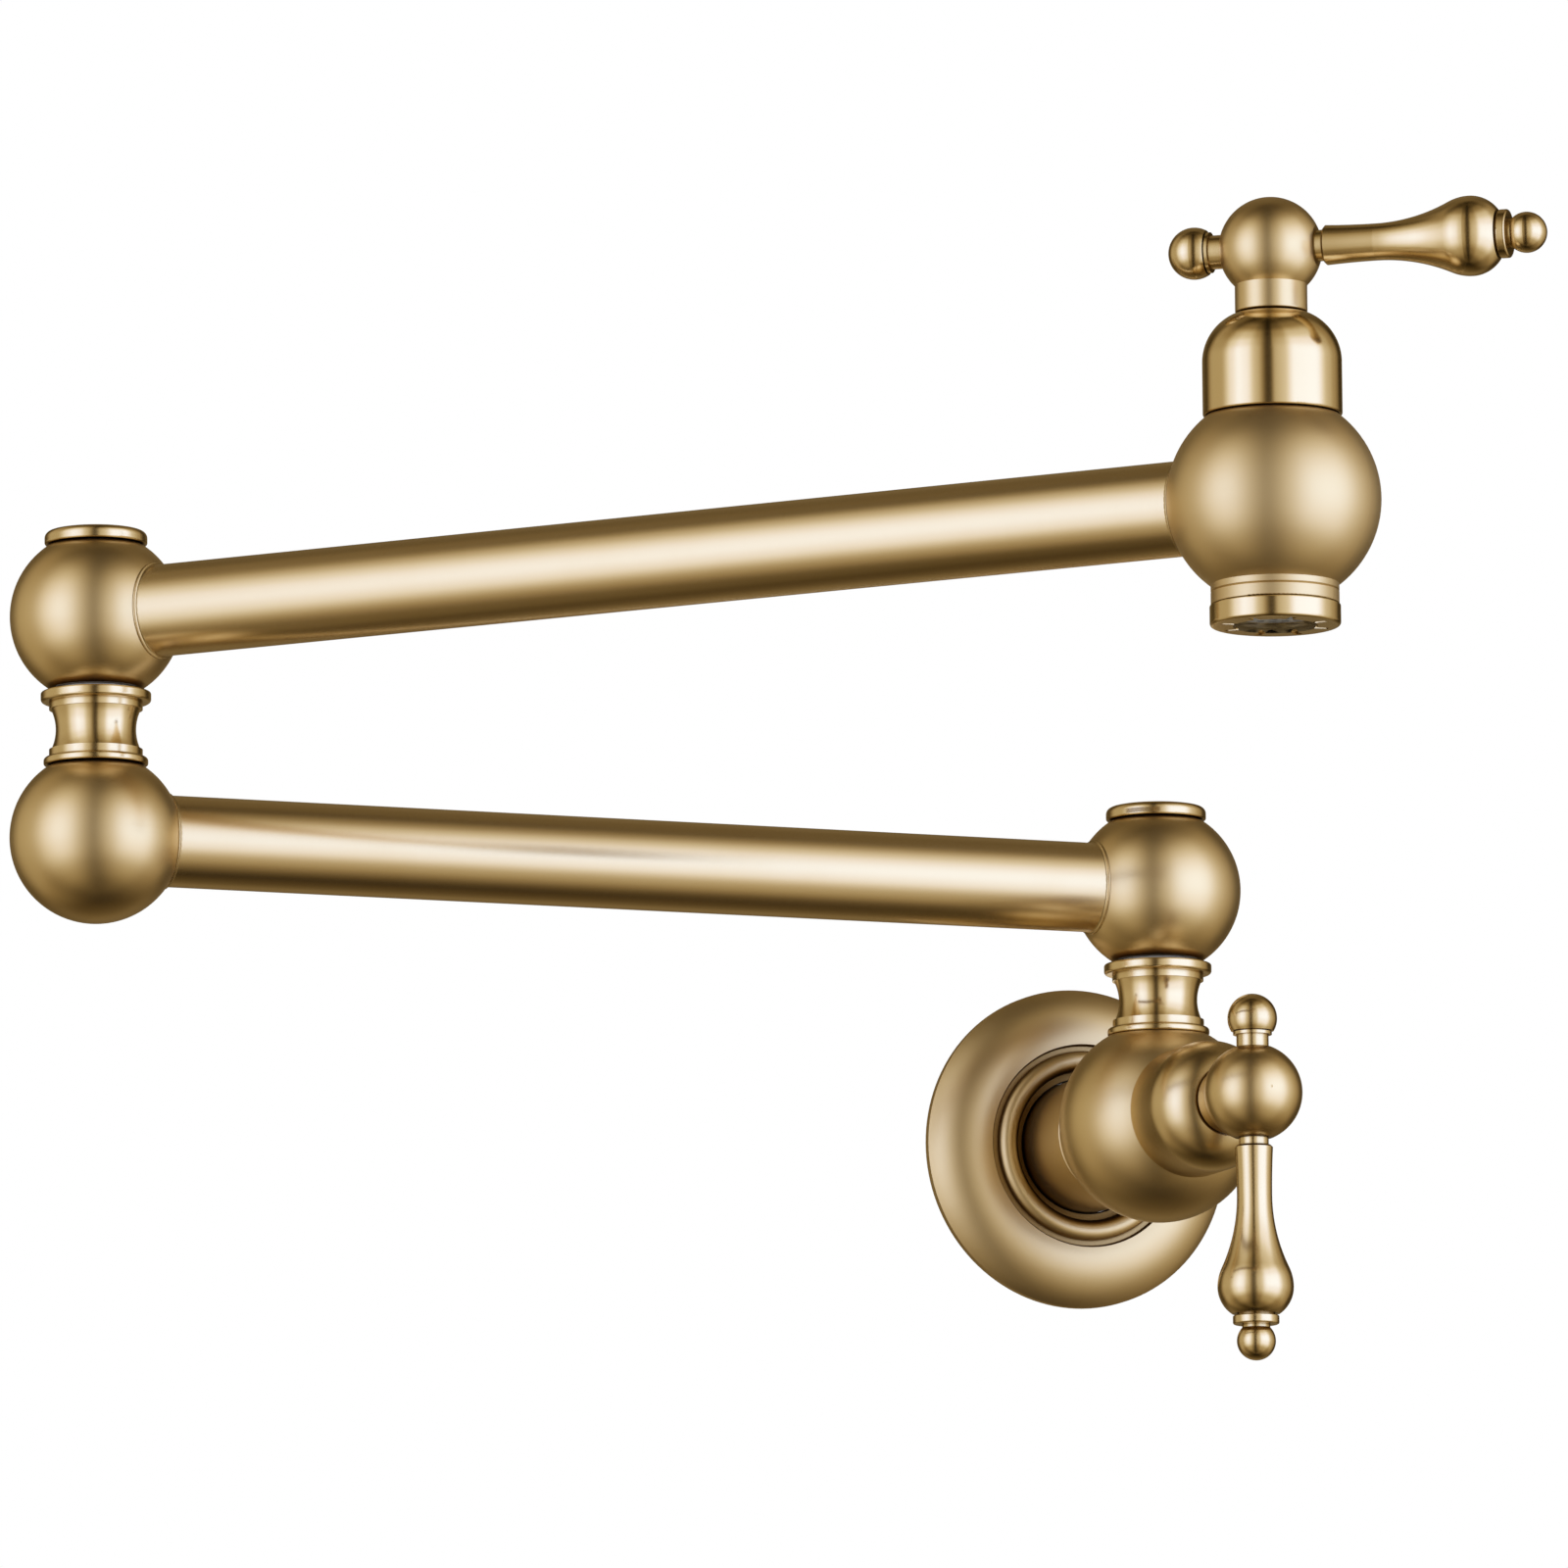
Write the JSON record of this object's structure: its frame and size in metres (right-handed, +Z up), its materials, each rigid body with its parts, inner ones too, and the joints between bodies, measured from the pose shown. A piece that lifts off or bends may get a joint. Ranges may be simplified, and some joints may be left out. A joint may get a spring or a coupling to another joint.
{
  "type": "wall mounted pot filler",
  "caption": "Wall mounted brass pot filler with swinging arms on ball joints, a lever valve at the wall and a lever valve above the spout.",
  "frame": {"origin": "centre of the water inlet's mouth, in the plane of the finished wall", "axes": "+Y points into the wall and is the inlet's axis, -Y out into the room, +Z up, +X to the right as seen from the room"},
  "size_m": [0.3348, 0.3348, 0.246],
  "materials": {
    "brushed_brass": "brushed, champagne tint",
    "plain_brass": "as machined",
    "black_rubber": "matt",
    "white_ceramic": "ground",
    "white_acetal": "matt",
    "grey_acetal": "matt",
    "plain_steel": "satin"
  },
  "bodies": {
    "wall_valve": {"escutcheon": "brushed_brass", "escutcheon_seal": "black_rubber", "escutcheon_gasket": "black_rubber", "valve_body": "brushed_brass", "inlet_washer": "black_rubber", "inlet_strainer": "plain_steel", "wall_housing": "plain_brass", "wall_seat_seal": "black_rubber", "wall_fixed_disc": "white_ceramic", "wall_bonnet": "brushed_brass", "wall_post": "brushed_brass", "wall_post_seals": "black_rubber", "wall_glide_washer": "white_acetal", "wall_thrust_washer": "white_acetal", "wall_circlip": "plain_steel"},
    "wall_handle": {"wall_moving_disc": "white_ceramic", "wall_spindle": "plain_brass", "wall_spindle_seal": "black_rubber", "wall_spindle_clip": "plain_steel", "wall_hub": "brushed_brass", "wall_lever": "brushed_brass", "wall_finial": "brushed_brass", "wall_set_screw": "plain_steel"},
    "lower_arm": {"arm_1_ball": "brushed_brass", "arm_1_cap": "brushed_brass", "arm_1_tube": "brushed_brass", "elbow_ball": "brushed_brass", "elbow_post": "brushed_brass", "elbow_post_seals": "black_rubber", "elbow_glide_washer": "white_acetal", "elbow_thrust_washer": "white_acetal", "elbow_circlip": "plain_steel"},
    "upper_arm": {"arm_2_ball": "brushed_brass", "arm_2_cap": "brushed_brass", "arm_2_tube": "brushed_brass", "spout_body": "brushed_brass", "spout_housing": "plain_brass", "spout_seat_seal": "black_rubber", "spout_fixed_disc": "white_ceramic", "spout_bonnet": "brushed_brass", "aerator_shell": "brushed_brass", "aerator_gasket": "black_rubber", "aerator_insert": "grey_acetal"},
    "spout_handle": {"spout_moving_disc": "white_ceramic", "spout_spindle": "plain_brass", "spout_spindle_seal": "black_rubber", "spout_spindle_clip": "plain_steel", "spout_hub": "brushed_brass", "spout_lever": "brushed_brass", "spout_finial": "brushed_brass", "spout_set_screw": "plain_steel"}
  },
  "joints": [
    {"name": "lower_arm_swivel", "type": "hinge", "parent": "wall_valve", "child": "lower_arm", "pos_m": [0, -0.055, 0.0574], "axis": [0, 0, 1], "range_deg": [-5, 185]},
    {"name": "elbow_swivel", "type": "hinge", "parent": "lower_arm", "child": "upper_arm", "pos_m": [-0.2744, -0.055, 0.1108], "axis": [0, 0, 1], "continuous": true},
    {"name": "wall_handle_turn", "type": "hinge", "parent": "wall_valve", "child": "wall_handle", "pos_m": [0, -0.055, 0], "axis": [0, -1, 0], "range_deg": [0, 90]},
    {"name": "spout_handle_turn", "type": "hinge", "parent": "upper_arm", "child": "spout_handle", "pos_m": [-0.07025, -0.29318, 0.1108], "axis": [0, 0, 1], "range_deg": [0, 90]}
  ]
}
